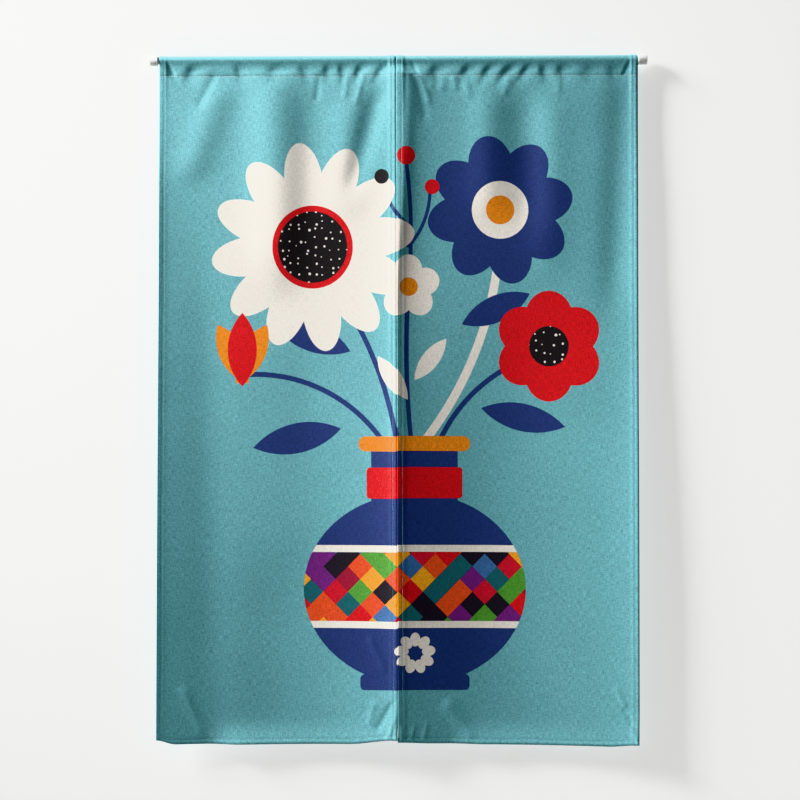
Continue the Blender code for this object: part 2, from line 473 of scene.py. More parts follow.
PLANS = (
    PanelPlan(
        "cloth_left",
        "panel_left",
        left_top=20.0,
        left_hem=11.0,
        right_top=429.6,
        right_hem=428.9,
        left_drop=1185.7,
        right_drop=1187.2,
        right_pull=-2.2,
        left_lift=(7.5, 34.0),
        right_lift=(8.0, 85.0),
        left_zone=0.45,
        kick=8.5,
        print_start=-425.0,
    ),
    PanelPlan(
        "cloth_right",
        "panel_right",
        left_top=431.2,
        left_hem=430.2,
        right_top=849.2,
        right_hem=847.2,
        left_drop=1185.0,
        right_drop=1193.4,
        right_pull=-1.2,
        left_lift=(1.5, 60.0),
        right_lift=(4.2, 55.0),
        left_zone=1.0,
        kick=6.5,
        print_start=0.0,
    ),
)


@dataclass(frozen=True)
class ClothPanel:
    """A printed panel with turned hems and a stitched rod pocket, as one thin sheet.

    A point of the sheet has a flat distance from the panel's left edge and a level: 0 at
    the hem's edge, 1 at the stitch line, 2 and 3 where the cloth meets and leaves the
    rod's round, 4 at the stitch line behind and 5 at the turned end of the cloth.
    """

    plan: PanelPlan
    hung: HungCloth
    width: float = 425.0
    thickness: float = 0.5
    layer_gap: float = 0.8
    hem: float = 9.0
    hem_line: float = 7.8
    hem_zone: float = 10.5
    zone_fade: float = 4.0
    zone_half: float = 1.4
    zone_low: float = 0.35
    zone_settles: float = 90.0
    zone_round: float = 1.05
    corner_stack: float = 1.2
    rod_radius: float = 6.5
    rod_clearance: float = 0.35
    tail: float = 4.0
    stand: float = 2.5
    lift_height: float = 150.0
    kick_height: float = 45.0
    kick_from: float = 90.0
    kick_full: float = 150.0
    kick_ease: float = 0.6
    pull_height: float = 60.0
    groove: float = 0.36
    groove_width: float = 1.4
    roll: float = 1.1
    roll_width: float = 2.8
    inner_columns: int = 150
    turn_steps: int = 5
    inner_from: float = 15.0
    front_until: float = 2.6
    front_fade: float = 0.4
    low_rows: tuple[float, float, int] = (15.0, 190.0, 42)
    mid_rows: tuple[float, float, int] = (199.0, 74.0, 94)
    high_rows: tuple[float, float, int] = (69.0, 1.5, 30)

    @property
    def layer(self) -> float:
        """The distance between the outer faces of two layers folded together."""
        return 2 * self.thickness + self.layer_gap

    @property
    def hang(self) -> float:
        """The flat length from the hem's edge to the stitch line."""
        return self.hung.drop - self.hung.stitch_drop

    def pinch(self, away: np.ndarray) -> np.ndarray:
        """How far a stitch line draws each layer in, as a bell curve of the distance to it."""
        return self.groove * np.exp(-((away / self.groove_width) ** 2))

    def zone(self, flat: np.ndarray) -> np.ndarray:
        """How full the side hems stand: full over the doubled cloth and 0 between the hems.

        Args:
            flat: distance from the panel's left edge on the flat cloth.

        Returns:
            A share from 0 to 1.
        """
        aside = np.minimum(flat, self.width - flat)
        full = between((self.plan.left_zone, 1.0), np.clip(flat / self.width, 0.0, 1.0))
        return full * (1.0 - smooth((aside - self.hem_zone) / self.zone_fade))

    def lift(self, flat: np.ndarray) -> np.ndarray:
        """How far each low corner is drawn up, as a soft step from the corner inwards.

        Args:
            flat: distance from the panel's left edge on the flat cloth.

        Returns:
            The height above the hem's straight line, in millimetres.
        """
        left_lift, left_reach = self.plan.left_lift
        right_lift, right_reach = self.plan.right_lift
        lifted = left_lift * smooth(1.0 - flat / left_reach)
        return lifted + right_lift * smooth(1.0 - (self.width - flat) / right_reach)

    def drop(self, flat: np.ndarray) -> np.ndarray:
        """The depth of the hem's edge below the rod: a straight line with lifted corners."""
        fall = self.plan.right_drop - self.plan.left_drop
        return self.plan.left_drop + fall * flat / self.width - self.lift(flat)

    def place(self, flat: np.ndarray, depth: np.ndarray) -> np.ndarray:
        """The place along the rod, between straight side edges that the depth moves.

        Args:
            flat: distance from the panel's left edge on the flat cloth.
            depth: depth below the rod.

        Returns:
            The place along the rod, in millimetres.
        """
        plan = self.plan
        down = np.maximum(depth, 0.0) / self.hung.drop
        left = plan.left_top + (plan.left_hem - plan.left_top) * down
        right = plan.right_top + (plan.right_hem - plan.right_top) * down
        low = (depth - plan.right_drop + self.pull_height) / self.pull_height
        right = right + plan.right_pull * smooth(low)
        return left + (right - left) * flat / self.width

    def section(self, flat: np.ndarray, level: np.ndarray) -> tuple[np.ndarray, ...]:
        """The cut across the rod: a straight hang, a tangent to the rod's round, the round
        itself, a tangent behind and a short tail.

        Args:
            flat: distance from the panel's left edge on the flat cloth.
            level: the level on the cloth, from 0 to 5.

        Returns:
            How far behind the rod's middle, the depth, and the cloth's length from the hem.
        """
        zone = self.zone(flat)
        stitch = self.hung.stitch_drop
        below = (self.drop(flat) - stitch) * (1.0 - np.minimum(level, 1.0))
        held = between((1.0, self.zone_low), smooth(below / self.zone_settles))
        half = self.layer / 2 + self.zone_half * zone * held
        around = self.rod_radius + self.rod_clearance + self.thickness
        around = around + self.zone_round * zone
        reach = np.hypot(half, stitch)
        leave = np.arcsin(around / reach) - np.arctan2(half, stitch)
        side = np.sqrt(reach**2 - around**2)
        hang = self.drop(flat) + self.lift(flat) - stitch
        low = np.maximum(1.0 - level * self.hang / self.lift_height, 0.0)
        steps = [np.clip(level - start, 0.0, 1.0) for start in range(5)]
        turned = -leave + (math.pi + 2 * leave) * steps[2]
        touch_behind = around * np.cos(leave)
        touch_depth = around * np.sin(leave)
        front = level <= 2.0
        round_top = (level > 2.0) & (level <= 3.0)
        up = np.where(front, steps[1], 1.0 - steps[3])
        behind = half + (touch_behind - half) * up
        depth = stitch + (touch_depth - stitch) * up
        hanging = stitch + hang * (1.0 - level) - self.lift(flat) * low**2
        depth = np.where(level <= 1.0, hanging, depth)
        depth = np.where(level > 4.0, stitch + self.tail * (level - 4.0), depth)
        behind = np.where(front, -behind, behind)
        behind = np.where(round_top, -around * np.cos(turned), behind)
        depth = np.where(round_top, -around * np.sin(turned), depth)
        arc = around * (math.pi + 2 * leave)
        length = self.hang * np.minimum(level, 1.0) + side * (steps[1] + steps[3])
        length = length + arc * steps[2] + self.tail * steps[4]
        return behind, depth, length

    def kick(self, flat: np.ndarray, depth: np.ndarray) -> np.ndarray:
        """How the hem flares toward the viewer, least at the sides.

        The flare is the square of how near the hem's edge a point is.

        Args:
            flat: distance from the panel's left edge on the flat cloth.
            depth: depth below the rod.

        Returns:
            The rise toward the viewer, in millimetres.
        """
        low = np.maximum(1.0 - (self.drop(flat) - depth) / self.kick_height, 0.0)
        begun = smooth((flat - self.kick_from) / (self.kick_full - self.kick_from))
        eased = smooth((flat - self.kick_full) / (self.width - self.kick_full))
        return self.plan.kick * low**2 * begun * (1.0 - self.kick_ease * eased)

    def outer(self, flat: np.ndarray, level: np.ndarray) -> np.ndarray:
        """The outer face: the section, pushed toward the viewer by the hung shape.

        Args:
            flat: distance from the panel's left edge on the flat cloth.
            level: the level on the cloth.

        Returns:
            Points in millimetres, with a last axis of 3.
        """
        behind, depth, _ = self.section(flat, level)
        place = self.place(flat, depth)
        follow = smooth((depth - self.rod_radius) / (self.hung.stitch_drop - self.rod_radius))
        rise = follow * (self.hung.forward(place, depth) + self.kick(flat, depth) + self.stand)
        return np.stack([place, behind - rise, -depth], axis=-1)

    def relief(self, flat: np.ndarray, level: np.ndarray) -> np.ndarray:
        """The heading's tucks, a shallow groove at each stitch line, and rolled edges.

        The right edge and the hem's edge roll back.

        Args:
            flat: distance from the panel's left edge on the flat cloth.
            level: the level on the cloth.

        Returns:
            The rise along the outward normal, in millimetres.
        """
        _, depth, length = self.section(flat, level)
        front = smooth((self.front_until - level) / self.front_fade)
        place = self.place(flat, depth)
        dented = self.hung.dimples_rise(place, depth) * (1.0 - self.zone(flat))
        tucked = (self.hung.tucks_rise(place, depth) + dented) * front
        stitch = self.hung.stitch_drop
        side = (flat - self.hem_line, self.width - self.hem_line - flat)
        lines = (*side, length - self.hem_line, depth - stitch)
        groove = np.zeros_like(tucked)
        for away in lines:
            groove = np.maximum(groove, self.pinch(away))
        edge = np.minimum(self.width - flat, length)
        rolled = self.roll * np.clip(1.0 - edge / self.roll_width, 0.0, 1.0) ** 2
        return tucked - groove - rolled

    def face(self, flat: np.ndarray, level: np.ndarray) -> tuple[np.ndarray, np.ndarray]:
        """The finished outer face and its normal, from differences a step each way.

        Args:
            flat: distance from the panel's left edge on the flat cloth.
            level: the level on the cloth.

        Returns:
            Points and unit normals in millimetres.
        """
        flat, level = np.broadcast_arrays(flat, level)
        step = 0.4
        rise = step / np.where(level < 1.0, self.drop(flat), self.hung.stitch_drop)
        across = self.outer(flat + step, level) - self.outer(flat - step, level)
        upward = self.outer(flat, level + rise) - self.outer(flat, level - rise)
        normal = np.cross(across, upward)
        normal /= np.linalg.norm(normal, axis=-1, keepdims=True)
        points = self.outer(flat, level) + normal * self.relief(flat, level)[..., None]
        return points, normal

    def hem_steps(self) -> tuple[np.ndarray, np.ndarray, np.ndarray]:
        """The steps across a folded hem, from its cut edge behind, round, to the face.

        The turn is a half circle: its points stand past the edge by the sine of the angle,
        and its share from the face to the strip is half of one less the cosine.

        Returns:
            Distance in from the edge, share of the turn, and flat distance for the print.
        """
        strip = np.array([self.hem, 8.4, self.hem_line, 7.2, 6.2, 4.4, 2.6, 1.0])
        turn = np.linspace(math.pi, 0.0, self.turn_steps + 1)
        past = -self.layer / 2 * np.sin(turn)
        face = np.array([0.6, 2.2, 3.8, 5.4, 6.9, self.hem_line, 8.7, 10.2, 12.2])
        return (
            np.concatenate([strip, past, face]),
            np.concatenate([0 * strip + 1, (1 - np.cos(turn)) / 2, 0 * face]),
            np.concatenate([-strip, past / 2, face]),
        )

    def columns(self) -> tuple[np.ndarray, np.ndarray, np.ndarray]:
        """The grid's columns: a side hem, the width between the hems, and the other hem.

        Returns:
            Place on the panel, share of a side hem's turn, and flat distance for the print.
        """
        place, share, flat = self.hem_steps()
        inner = np.linspace(self.inner_from, self.width - self.inner_from, self.inner_columns + 1)
        return (
            np.concatenate([place, inner, self.width - place[::-1]]),
            np.concatenate([share, 0 * inner, share[::-1]]),
            np.concatenate([flat, inner, self.width - flat[::-1]]),
        )

    def rows(self) -> tuple[np.ndarray, np.ndarray, np.ndarray]:
        """The grid's rows: the bottom hem, the hang, the pocket and the tail behind it.

        The rows are closest where the cloth creases, near the hem and under the heading.
        Low rows are measured from the hem, high rows from the stitch line, and the middle
        ones from the hem to that far short of the stitch line.

        Returns:
            Level, share of the bottom hem's turn, and what the print's height differs by.
        """
        height, share, flat = self.hem_steps()
        start, short, count = self.mid_rows
        low = np.linspace(*self.low_rows)
        mid = np.linspace(start, self.hang - short, count)
        high = self.hang - np.linspace(*self.high_rows)
        pocket = [np.linspace(1.0, 2.0, 15), np.linspace(2.0, 3.0, 21)[1:]]
        pocket += [np.linspace(3.0, 4.0, 12)[1:], np.array([4.5, 5.0])]
        above = np.concatenate(pocket)
        rest = np.concatenate([low, mid, high])
        level = np.concatenate([height / self.hang, rest / self.hang, above])
        spare = 0 * np.concatenate([rest, above])
        return level, np.concatenate([share, spare]), np.concatenate([flat - height, spare])

    def build(self) -> Object:
        """Makes the sheet: the face, moved back by its folded hems, with its thickness.

        A side hem folds in first, so the bottom hem's own side strips lie between.

        Returns:
            The cloth object, with a map of the flat cloth in metres.
        """
        place, side_share, flat = self.columns()
        level, low_share, shift = self.rows()
        place_grid, level_grid = np.meshgrid(place, level)
        points, normal = self.face(place_grid, level_grid)
        edge_place = np.minimum(place, self.width - place)
        side_back = side_share * (self.layer - 2 * self.pinch(edge_place - self.hem_line))
        stack = self.layer * (1.0 + self.corner_stack * self.zone(place))
        low_pinch = 2 * self.pinch(level * self.hang - self.hem_line)
        folded = stack[None, :] - 2 * side_back[None, :] - low_pinch[:, None]
        back = side_back[None, :] + low_share[:, None] * folded
        points = points - normal * back[..., None]
        _, _, length = self.section(place_grid, level_grid)
        across = np.broadcast_to(flat + self.plan.print_start, length.shape)
        printed = np.stack([across, length + shift[:, None]], -1)
        cloth = grid_object(self.plan.name, points * MM, printed * MM)
        wall = cloth.modifiers.new("cloth", "SOLIDIFY")
        wall.thickness = self.thickness * MM
        wall.offset = -1.0
        wall.use_quality_normals = True
        wall.material_offset = 1
        return cloth


def grid_object(name: str, points: np.ndarray, flat: np.ndarray) -> Object:
    """A smooth mesh from a grid of points, one face for each cell.

    Args:
        name: the object's name.
        points: points in metres, rows by columns by 3.
        flat: the map in metres, rows by columns by 2.

    Returns:
        The new object, linked to the scene.
    """
    rows, columns = points.shape[:2]
    index = np.arange(rows * columns).reshape(rows, columns)
    corners = (index[:-1, :-1], index[:-1, 1:], index[1:, 1:], index[1:, :-1])
    faces = np.stack(corners, -1).reshape(-1, 4)
    mesh = bpy.data.meshes.new(name)
    mesh.from_pydata(points.reshape(-1, 3), [], faces)
    layer = mesh.uv_layers.new(name="flat_cloth")
    layer.uv.foreach_set("vector", flat.reshape(-1, 2)[faces.ravel()].astype(np.float32).ravel())
    mesh.shade_smooth()
    return link(bpy.data.objects.new(name, mesh))


def link(thing: Object) -> Object:
    """Puts an object in the scene and returns it."""
    bpy.context.scene.collection.objects.link(thing)
    return thing


# Sewing


@dataclass(frozen=True)
class Sewing:
    """Lines of stitches on one panel, in front and behind, as one joined mesh.

    A stitch is a short thread that rises and dips along its line. Its middle line is half
    a sine wave, and it is thickest in the middle.
    """

    panel: ClothPanel
    threads: list[Material]
    pitch: float = 3.1
    stitch: float = 2.5
    thread: float = 0.3
    lift: float = 0.12
    taper: float = 0.35
    seat: float = 0.4
    clear: float = 2.0
    pale_lines: int = 2
    rings: int = 4
    sides: int = 5

    def template(self) -> tuple[np.ndarray, np.ndarray]:
        """One stitch along +X at the origin, standing on +Z.

        Returns:
            Its points in millimetres, and its four-cornered faces.
        """
        share = np.linspace(0.0, 1.0, self.rings + 1)
        bulge = (1.0 - self.taper) * np.sin(math.pi * share)
        radius = self.thread * (self.taper + bulge)
        turn = np.arange(self.sides) * 2 * math.pi / self.sides
        along = (share - 0.5) * self.stitch
        height = self.lift * np.sin(math.pi * share)
        points = np.stack(
            [
                np.repeat(along, self.sides),
                np.outer(radius, np.cos(turn)).ravel(),
                np.repeat(height, self.sides) + np.outer(radius, np.sin(turn)).ravel(),
            ],
            -1,
        )
        ring = np.arange(self.rings)[:, None] * self.sides
        side = np.arange(self.sides)[None, :]
        after = (side + 1) % self.sides
        faces = np.stack(
            [ring + side, ring + side + self.sides, ring + after + self.sides, ring + after], -1
        )
        return points, faces.reshape(-1, 4)

    def lines(self) -> list[tuple[np.ndarray, np.ndarray, float]]:
        """Every stitch's place: flat distance, level, and how far behind the face it lies.

        The first two lines hold the heading, in pale thread.

        Returns:
            One entry for each line of stitches.
        """
        panel = self.panel
        line, width, hang = panel.hem_line, panel.width, panel.hang
        drawn = panel.layer - 2 * panel.groove
        across = np.arange(line, width - line, self.pitch)
        wide = np.arange(self.clear, width - self.clear, self.pitch)
        upward = np.arange(line, hang - self.clear, self.pitch) / hang
        found = [
            (wide, np.full_like(wide, 1.0), 0.0),
            (wide, np.full_like(wide, 4.0), 0.0),
            (across, np.full_like(across, line / hang), 0.0),
            (across, np.full_like(across, line / hang), drawn),
        ]
        for side in (line, width - line):
            found.append((np.full_like(upward, side), upward, 0.0))
            found.append((np.full_like(upward, side), upward, drawn))
        return found

    def build(self, name: str) -> Object:
        """Copies the stitch to every place, turned along its line and standing on the cloth.

        Args:
            name: the object's name.

        Returns:
            The joined stitches.
        """
        shape, faces = self.template()
        points, all_faces, tones, start = [], [], [], 0
        for number, (flat, level, behind) in enumerate(self.lines()):
            centre, normal = self.panel.face(flat, level)
            along = np.gradient(centre, axis=0)
            along /= np.linalg.norm(along, axis=-1, keepdims=True)
            outward = normal if behind == 0.0 else -normal
            centre = centre - normal * behind + outward * self.thread * self.seat
            sideways = np.cross(outward, along)
            frame = np.stack([along, sideways, outward], 1)
            placed = np.einsum("pk,nkd->npd", shape, frame) + centre[:, None, :]
            count = len(flat)
            points.append(placed.reshape(-1, 3))
            offset = start + np.arange(count)[:, None, None] * len(shape)
            all_faces.append((faces[None] + offset).reshape(-1, 4))
            tones.append(np.full(count * len(faces), int(number < self.pale_lines)))
            start += count * len(shape)
        mesh = bpy.data.meshes.new(name)
        mesh.from_pydata(np.concatenate(points) * MM, [], np.concatenate(all_faces))
        mesh.shade_smooth()
        stitches = dress(link(bpy.data.objects.new(name, mesh)), *self.threads)
        mesh.polygons.foreach_set("material_index", np.concatenate(tones).astype(np.int32))
        return stitches


# Rod ends


@dataclass(frozen=True)
class EndCap:
    """A moulded white cap: a turned profile with a soft rim and a shallow ring groove."""

    name: str
    node: str
    face_at: float
    outward: float
    radius: float = 9.5
    length: float = 16.0
    socket: float = 6.8
    socket_depth: float = 12.0
    rim: float = 1.5
    groove_from_end: float = 3.0
    groove_half: float = 0.8
    groove_floor: float = 0.35
    groove_depth: float = 0.45
    sides: int = 64

    def profile(self) -> np.ndarray:
        """The cap's outline as (radius, distance from its outer face), face to socket.

        The rim is a quarter circle, and the groove is a small dip near the open end.

        Returns:
            Points in millimetres, a row for each.
        """
        turn = np.linspace(0.0, math.pi / 2, 7)
        rim = np.stack(
            [
                self.radius - self.rim + self.rim * np.sin(turn),
                self.rim - self.rim * np.cos(turn),
            ],
            -1,
        )
        groove = self.length - self.groove_from_end
        low = self.radius - self.groove_depth
        body = [
            (self.radius, groove - self.groove_half),
            (low, groove - self.groove_floor),
            (low, groove + self.groove_floor),
            (self.radius, groove + self.groove_half),
            (self.radius, self.length - 0.5),
            (self.radius - 0.5, self.length),
            (self.socket + 0.3, self.length),
            (self.socket, self.length - 0.3),
            (self.socket, self.length - self.socket_depth),
            (0.0, self.length - self.socket_depth),
        ]
        return np.concatenate([[(0.0, 0.0), (self.radius * 0.55, 0.0)], rim, body])

    def build(self) -> Object:
        """Turns the profile about the rod's axis.

        Returns:
            The cap, closed and facing outwards.
        """
        profile = self.profile()
        turn = np.arange(self.sides + 1) * 2 * math.pi / self.sides * -self.outward
        away, radius = profile[:, 1][:, None], profile[:, 0][:, None]
        points = np.stack(
            [
                np.broadcast_to(self.face_at - self.outward * away, (len(profile), self.sides + 1)),
                radius * np.cos(turn),
                radius * np.sin(turn),
            ],
            -1,
        )
        flat = np.zeros((*points.shape[:2], 2))
        cap = grid_object(self.name, points * MM, flat)
        weld = cap.modifiers.new("weld", "WELD")
        weld.merge_threshold = 0.00001
        cap.data.set_sharp_from_angle(angle=math.radians(35.0))
        return cap


# Shader building


class Wiring:
    """A node tree being filled. Each call adds one node and returns its output."""

    def __init__(self, tree: Tree) -> None:
        """Keeps the tree."""
        self.tree = tree

    def node(self, kind: str, **settings: object) -> Node:
        """Adds a node.

        Args:
            kind: the node's type.
            settings: the properties to set on it.

        Returns:
            The node.
        """
        made = self.tree.nodes.new(kind)
        for name, value in settings.items():
            setattr(made, name, value)
        return made

    def feed(self, socket: Socket, value: object) -> None:
        """Links an output to the socket, or sets the socket to a plain value.

        Args:
            socket: the input.
            value: another node's output, or a number, vector or colour.
        """
        if isinstance(value, Socket):
            self.tree.links.new(value, socket)
        else:
            socket.default_value = value

    def math(self, operation: str, *values: object, clamp: bool = False) -> Socket:
        """Adds a Math node.

        Args:
            operation: what it does.
            values: up to three values.
            clamp: whether the result is held between 0 and 1.

        Returns:
            Its value.
        """
        made = self.node("ShaderNodeMath", operation=operation, use_clamp=clamp)
        for socket, value in zip(made.inputs, values):
            self.feed(socket, value)
        return made.outputs[0]

    def vector(self, operation: str, first: object, *second: object) -> Socket:
        """Adds a Vector Math node.

        Args:
            operation: what it does.
            first: its vector.
            second: its other vector or its scale, if it takes one.

        Returns:
            Its vector, or its value for a length or a dot product.
        """
        made = self.node("ShaderNodeVectorMath", operation=operation)
        self.feed(made.inputs[0], first)
        for value in second:
            self.feed(made.inputs["Scale" if operation == "SCALE" else 1], value)
        return made.outputs["Value" if operation in ("LENGTH", "DOT_PRODUCT") else "Vector"]

    def mix(self, share: object, under: object, over: object, blend: str = "MIX") -> Socket:
        """Mixes two colours.

        Args:
            share: the share of the second colour.
            under, over: the two colours.
            blend: how they mix.

        Returns:
            The colour.
        """
        made = self.node("ShaderNodeMix", data_type="RGBA", blend_type=blend)
        for index, value in ((0, share), (6, under), (7, over)):
            self.feed(made.inputs[index], value)
        return made.outputs[2]

    def split(self, vector: object) -> tuple[Socket, Socket]:
        """The first two parts of a vector.

        Args:
            vector: the vector.

        Returns:
            Its X and Y.
        """
        made = self.node("ShaderNodeSeparateXYZ")
        self.feed(made.inputs[0], vector)
        return made.outputs[0], made.outputs[1]

    def join(self, *parts: object) -> Socket:
        """A vector from its two or three parts.

        Args:
            parts: its X, its Y and, if it has one, its Z.

        Returns:
            The vector.
        """
        made = self.node("ShaderNodeCombineXYZ")
        for socket, value in zip(made.inputs, parts):
            self.feed(socket, value)
        return made.outputs[0]

    def noise(self, vector: object, scale: float, detail: float, roughness: float = 0.5) -> Socket:
        """Adds a Noise Texture.

        Args:
            vector: where it is read.
            scale, detail, roughness: its settings.

        Returns:
            Its value.
        """
        made = self.node("ShaderNodeTexNoise")
        named = {"Vector": vector, "Scale": scale, "Detail": detail, "Roughness": roughness}
        for name, value in named.items():
            self.feed(made.inputs[name], value)
        return made.outputs[0]

    def remap(
        self, value: object, low: float, high: float, to_low: float = 0.0, to_high: float = 1.0
    ) -> Socket:
        """Maps a range onto another, held at its ends.

        Args:
            value: the value.
            low, high: the range it comes from.
            to_low, to_high: the new range.

        Returns:
            The new value.
        """
        made = self.node("ShaderNodeMapRange", clamp=True)
        for socket, given in zip(made.inputs, (value, low, high, to_low, to_high)):
            self.feed(socket, given)
        return made.outputs[0]

    def group(self, tree: Tree, **values: object) -> Node:
        """Adds a node group.

        Args:
            tree: the group.
            values: what its inputs are fed, with _ for a space in a name.

        Returns:
            The group's node.
        """
        made = self.node("ShaderNodeGroup", node_tree=tree)
        for name, value in values.items():
            self.feed(made.inputs[name.replace("_", " ")], value)
        return made


def new_group(
    name: str, inputs: dict[str, str], outputs: dict[str, str]
) -> tuple[Wiring, Sockets, Node]:
    """Makes an empty shader node group.

    Args:
        name: the group's name.
        inputs, outputs: each socket's name and its kind, such as Float, Vector or Color.

    Returns:
        The wiring of its tree, its inputs by name, and its output node.
    """
    tree = bpy.data.node_groups.new(name, "ShaderNodeTree")
    for label, kind in inputs.items():
        tree.interface.new_socket(label, in_out="INPUT", socket_type=f"NodeSocket{kind}")
    for label, kind in outputs.items():
        tree.interface.new_socket(label, in_out="OUTPUT", socket_type=f"NodeSocket{kind}")
    wiring = Wiring(tree)
    entry = wiring.node("NodeGroupInput")
    leave = wiring.node("NodeGroupOutput")
    return wiring, {socket.name: socket for socket in entry.outputs if socket.name}, leave


# Millimetres over which a printed edge fades, and the specks' scatter and shares of their size
EDGE_SOFTNESS = 0.7
SPECK_SCATTER = 0.7
SPECK_SIZES = (0.45, 1.1)


@dataclass(frozen=True)
class Edge:
    """A place in a printed shape's group, and a formula for each kind of shape's edge.

    The place is measured from the shape's centre and turned with it. Each formula gives
    the distance to the edge in millimetres, below 0 inside the shape.
    """

    wiring: Wiring
    along: Socket
    across: Socket
    given: Sockets

    def oval(self) -> Socket:
        """The length of the place over the half sizes, less 1, times the smaller half size.

        Returns:
            The distance to the edge.
        """
        math_node = self.wiring.math
        half, wide = self.given["Half Length"], self.given["Half Width"]
        scaled = (math_node("DIVIDE", self.along, half), math_node("DIVIDE", self.across, wide))
        length = self.wiring.vector("LENGTH", self.wiring.join(*scaled))
        return math_node("MULTIPLY", math_node("SUBTRACT", length, 1.0), math_node("MINIMUM", half, wide))

    def bar(self) -> Socket:
        """A rounded bar: how far the place lies past the inner bar, less the corner.

        Returns:
            The distance to the edge.
        """
        math_node = self.wiring.math
        corner = self.given["Corner"]
        parts = []
        for place, half in ((self.along, "Half Length"), (self.across, "Half Width")):
            inner = math_node("SUBTRACT", self.given[half], corner)
            parts.append(math_node("SUBTRACT", math_node("ABSOLUTE", place), inner))
        outside = [math_node("MAXIMUM", part, 0.0) for part in parts]
        length = self.wiring.vector("LENGTH", self.wiring.join(*outside))
        inside = math_node("MINIMUM", math_node("MAXIMUM", *parts), 0.0)
        return math_node("SUBTRACT", math_node("ADD", length, inside), corner)

    def leaf(self) -> Socket:
        """The part that two equal circles share, their centres either side of the leaf.

        Returns:
            The distance to the edge.
        """
        math_node = self.wiring.math
        half, wide = self.given["Half Length"], self.given["Half Width"]
        squares = math_node(
            "ADD", math_node("MULTIPLY", half, half), math_node("MULTIPLY", wide, wide)
        )
        radius = math_node("DIVIDE", squares, math_node("MULTIPLY", wide, 2.0))
        offset = math_node("SUBTRACT", radius, wide)
        beyond = math_node("ADD", math_node("ABSOLUTE", self.across), offset)
        length = self.wiring.vector("LENGTH", self.wiring.join(self.along, beyond))
        return math_node("SUBTRACT", length, radius)

    def petals(self) -> Socket:
        """Ovals round a ring: the angle is folded into one petal's share, then measured.

        Returns:
            The distance to the edge.
        """
        math_node = self.wiring.math
        inner, outer, wide = (self.given[name] for name in ("Inner", "Outer", "Half Width"))
        radius = self.wiring.vector("LENGTH", self.wiring.join(self.along, self.across))
        angle = math_node("ARCTAN2", self.across, self.along)
        share = math_node("DIVIDE", 2 * math.pi, self.given["Petals"])
        nearest = math_node("MULTIPLY", math_node("ROUND", math_node("DIVIDE", angle, share)), share)
        folded = math_node("SUBTRACT", angle, nearest)
        outward = math_node("MULTIPLY", radius, math_node("COSINE", folded))
        aside = math_node("MULTIPLY", radius, math_node("SINE", folded))
        middle = math_node("MULTIPLY", math_node("ADD", inner, outer), 0.5)
        half = math_node("MULTIPLY", math_node("SUBTRACT", outer, inner), 0.5)
        scaled_x = math_node("DIVIDE", math_node("SUBTRACT", outward, middle), half)
        scaled_y = math_node("DIVIDE", aside, wide)
        length = self.wiring.vector("LENGTH", self.wiring.join(scaled_x, scaled_y))
        return math_node("MULTIPLY", math_node("SUBTRACT", length, 1.0), wide)

    def stem(self) -> Socket:
        """The near side of a ring about a far centre, kept between the stem's two ends.

        Returns:
            The distance to the edge.
        """
        math_node = self.wiring.math
        bend = self.given["Bend Radius"]
        beyond = math_node("ADD", self.across, bend)
        radius = self.wiring.vector("LENGTH", self.wiring.join(self.along, beyond))
        ring = math_node("ABSOLUTE", math_node("SUBTRACT", radius, math_node("ABSOLUTE", bend)))
        edge = math_node("SUBTRACT", ring, self.given["Half Width"])
        end = math_node("SUBTRACT", math_node("ABSOLUTE", self.along), self.given["Half Length"])
        near_side = math_node("MULTIPLY", beyond, math_node("SIGN", bend))
        far_side = math_node("MULTIPLY", near_side, -1.0)
        return math_node("MAXIMUM", math_node("MAXIMUM", edge, end), far_side)


def shape_group(name: str, sizes: tuple[str, ...], formula: Callable[[Edge], Socket]) -> Tree:
    """A group that masks one printed shape, from a formula for the distance to its edge.

    The place is first moved to the shape's centre and turned by its angle.

    Args:
        name: the group's name.
        sizes: the names of its size inputs, in millimetres.
        formula: the kind of edge.

    Returns:
        The group, with the mask as its output.
    """
    inputs = {"Place": "Vector", "Centre X": "Float", "Centre Y": "Float", "Turn": "Float"}
    inputs.update({size: "Float" for size in sizes})
    wiring, given, leave = new_group(name, inputs, {"Mask": "Float"})
    centre = wiring.join(given["Centre X"], given["Centre Y"])
    away_x, away_y = wiring.split(wiring.vector("SUBTRACT", given["Place"], centre))
    turn = wiring.math("RADIANS", given["Turn"])
    cosine, sine = wiring.math("COSINE", turn), wiring.math("SINE", turn)
    along = wiring.math("MULTIPLY_ADD", away_x, cosine, wiring.math("MULTIPLY", away_y, sine))
    aside = wiring.math("MULTIPLY", away_x, sine)
    across = wiring.math("SUBTRACT", wiring.math("MULTIPLY", away_y, cosine), aside)
    distance = formula(Edge(wiring, along, across, given))
    mask = wiring.math("MULTIPLY_ADD", distance, -1.0 / EDGE_SOFTNESS, 0.5, clamp=True)
    wiring.feed(leave.inputs["Mask"], mask)
    return wiring.tree


class Shape(Enum):
    """The kinds of printed shape."""

    OVAL = "oval"
    BAR = "bar"
    LEAF = "leaf"
    PETALS = "petals"
    STEM = "stem"


SHAPE_SIZES = {
    Shape.OVAL: (("Half Length", "Half Width"), Edge.oval),
    Shape.BAR: (("Half Length", "Half Width", "Corner"), Edge.bar),
    Shape.LEAF: (("Half Length", "Half Width"), Edge.leaf),
    Shape.PETALS: (("Petals", "Inner", "Outer", "Half Width"), Edge.petals),
    Shape.STEM: (("Half Length", "Half Width", "Bend Radius"), Edge.stem),
}


